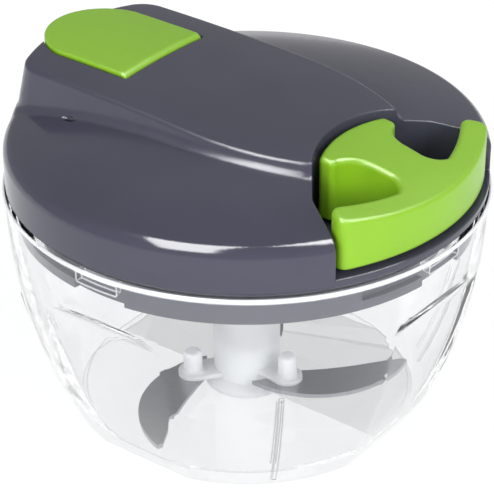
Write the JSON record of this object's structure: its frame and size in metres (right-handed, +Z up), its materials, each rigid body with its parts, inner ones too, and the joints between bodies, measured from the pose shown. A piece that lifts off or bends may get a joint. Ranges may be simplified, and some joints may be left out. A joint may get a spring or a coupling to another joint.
{
  "type": "pull-string garlic chopper",
  "caption": "Round hand chopper: clear scooped bowl, dark domed lid with a raised ridge, green pull handle and press button, curved blades on a centre hub.",
  "frame": {"origin": "centre of the bowl's underside, on the axis of the blades", "axes": "+Z up, +X the way the handle is pulled, +Y to the left of the pull"},
  "size_m": [0.1316, 0.1316, 0.0969],
  "materials": {
    "clear_plastic": "clear moulded plastic, polished",
    "dark_plastic": "dark slate grey moulded plastic, glossy",
    "green_plastic": "bright green moulded plastic, satin gloss",
    "grey_plastic": "mid grey moulded plastic",
    "milky_plastic": "milky translucent plastic",
    "white_plastic": "white acetal",
    "black_rubber": "soft rubber",
    "steel": "stainless steel, ground",
    "spring_steel": "spring steel, drawn",
    "cord": "braided nylon cord"
  },
  "bodies": {
    "bowl": {"bowl": "clear_plastic"},
    "gasket": {"lid_gasket": "black_rubber"},
    "lid": {"lid_cover": "dark_plastic", "lid_base": "grey_plastic", "cord_inner_run": "cord", "cord_bush": "white_plastic", "spool_housing": "grey_plastic", "spool_axle": "steel", "axle_clip": "steel", "recoil_spring": "spring_steel", "mechanism_screws": "steel", "cover_screws": "steel", "button_pin": "steel", "button_spring": "spring_steel", "vent_spring": "spring_steel"},
    "handle": {"pull_handle": "green_plastic", "cord_knot": "cord", "cord_handle_run": "cord"},
    "spool": {"cord_spool": "white_plastic", "cord_winding": "cord"},
    "front_pawl": {"pawl_front": "white_plastic"},
    "rear_pawl": {"pawl_rear": "white_plastic"},
    "coupler": {"drive_coupler": "white_plastic"},
    "button": {"release_button": "green_plastic"},
    "vent": {"vent_plunger": "white_plastic", "vent_seal": "black_rubber"},
    "blades": {"blade_hub": "milky_plastic", "blade_middle": "steel", "blade_lower": "steel", "blade_upper": "steel", "blade_pegs": "milky_plastic"}
  },
  "joints": [
    {"name": "lid_lift", "type": "slide", "parent": "bowl", "child": "gasket", "axis": [0, 0, 1], "range_m": [0, 0.1]},
    {"name": "lid_turn", "type": "hinge", "parent": "gasket", "child": "lid", "pos_m": [0, 0, 0.064], "axis": [0, 0, 1], "range_deg": [0, 18]},
    {"name": "handle_pull", "type": "slide", "parent": "lid", "child": "handle", "axis": [1, 0, 0], "range_m": [0, 0.38], "stiffness_N_per_m": 12, "springref_m": -0.15},
    {"name": "spool_spin", "type": "hinge", "parent": "lid", "child": "spool", "pos_m": [0, 0, 0.076], "axis": [0, 0, 1], "range_deg": [-1210, 0]},
    {"name": "drive_spin", "type": "hinge", "parent": "lid", "child": "coupler", "pos_m": [0, 0, 0.062], "axis": [0, 0, 1], "range_deg": [-1210, 0]},
    {"name": "blade_spin", "type": "hinge", "parent": "bowl", "child": "blades", "pos_m": [0, 0, 0.01], "axis": [0, 0, 1], "range_deg": [-1210, 0]},
    {"name": "front_pawl_swing", "type": "hinge", "parent": "spool", "child": "front_pawl", "pos_m": [0.009, 0, 0.068], "axis": [0, 0, -1], "range_deg": [0, 8]},
    {"name": "rear_pawl_swing", "type": "hinge", "parent": "spool", "child": "rear_pawl", "pos_m": [-0.009, 0, 0.068], "axis": [0, 0, -1], "range_deg": [0, 8]},
    {"name": "button_press", "type": "hinge", "parent": "lid", "child": "button", "pos_m": [-0.031, 0, 0.0912], "axis": [0, -1, 0], "range_deg": [0, 4], "stiffness_Nm_per_rad": 0.6, "springref_deg": -2.86, "deforming": ["button_spring"]},
    {"name": "vent_open", "type": "slide", "parent": "lid", "child": "vent", "axis": [0, 0, -1], "range_m": [0, 0.0016], "deforming": ["vent_spring"]}
  ],
  "couplings": [
    {"joint": "spool_spin", "follows": "handle_pull", "rad_per_m": -55.556},
    {"joint": "drive_spin", "follows": "handle_pull", "rad_per_m": -55.556},
    {"joint": "blade_spin", "follows": "handle_pull", "rad_per_m": -55.556},
    {"joint": "vent_open", "follows": "button_press", "m_per_rad": 0.022}
  ]
}
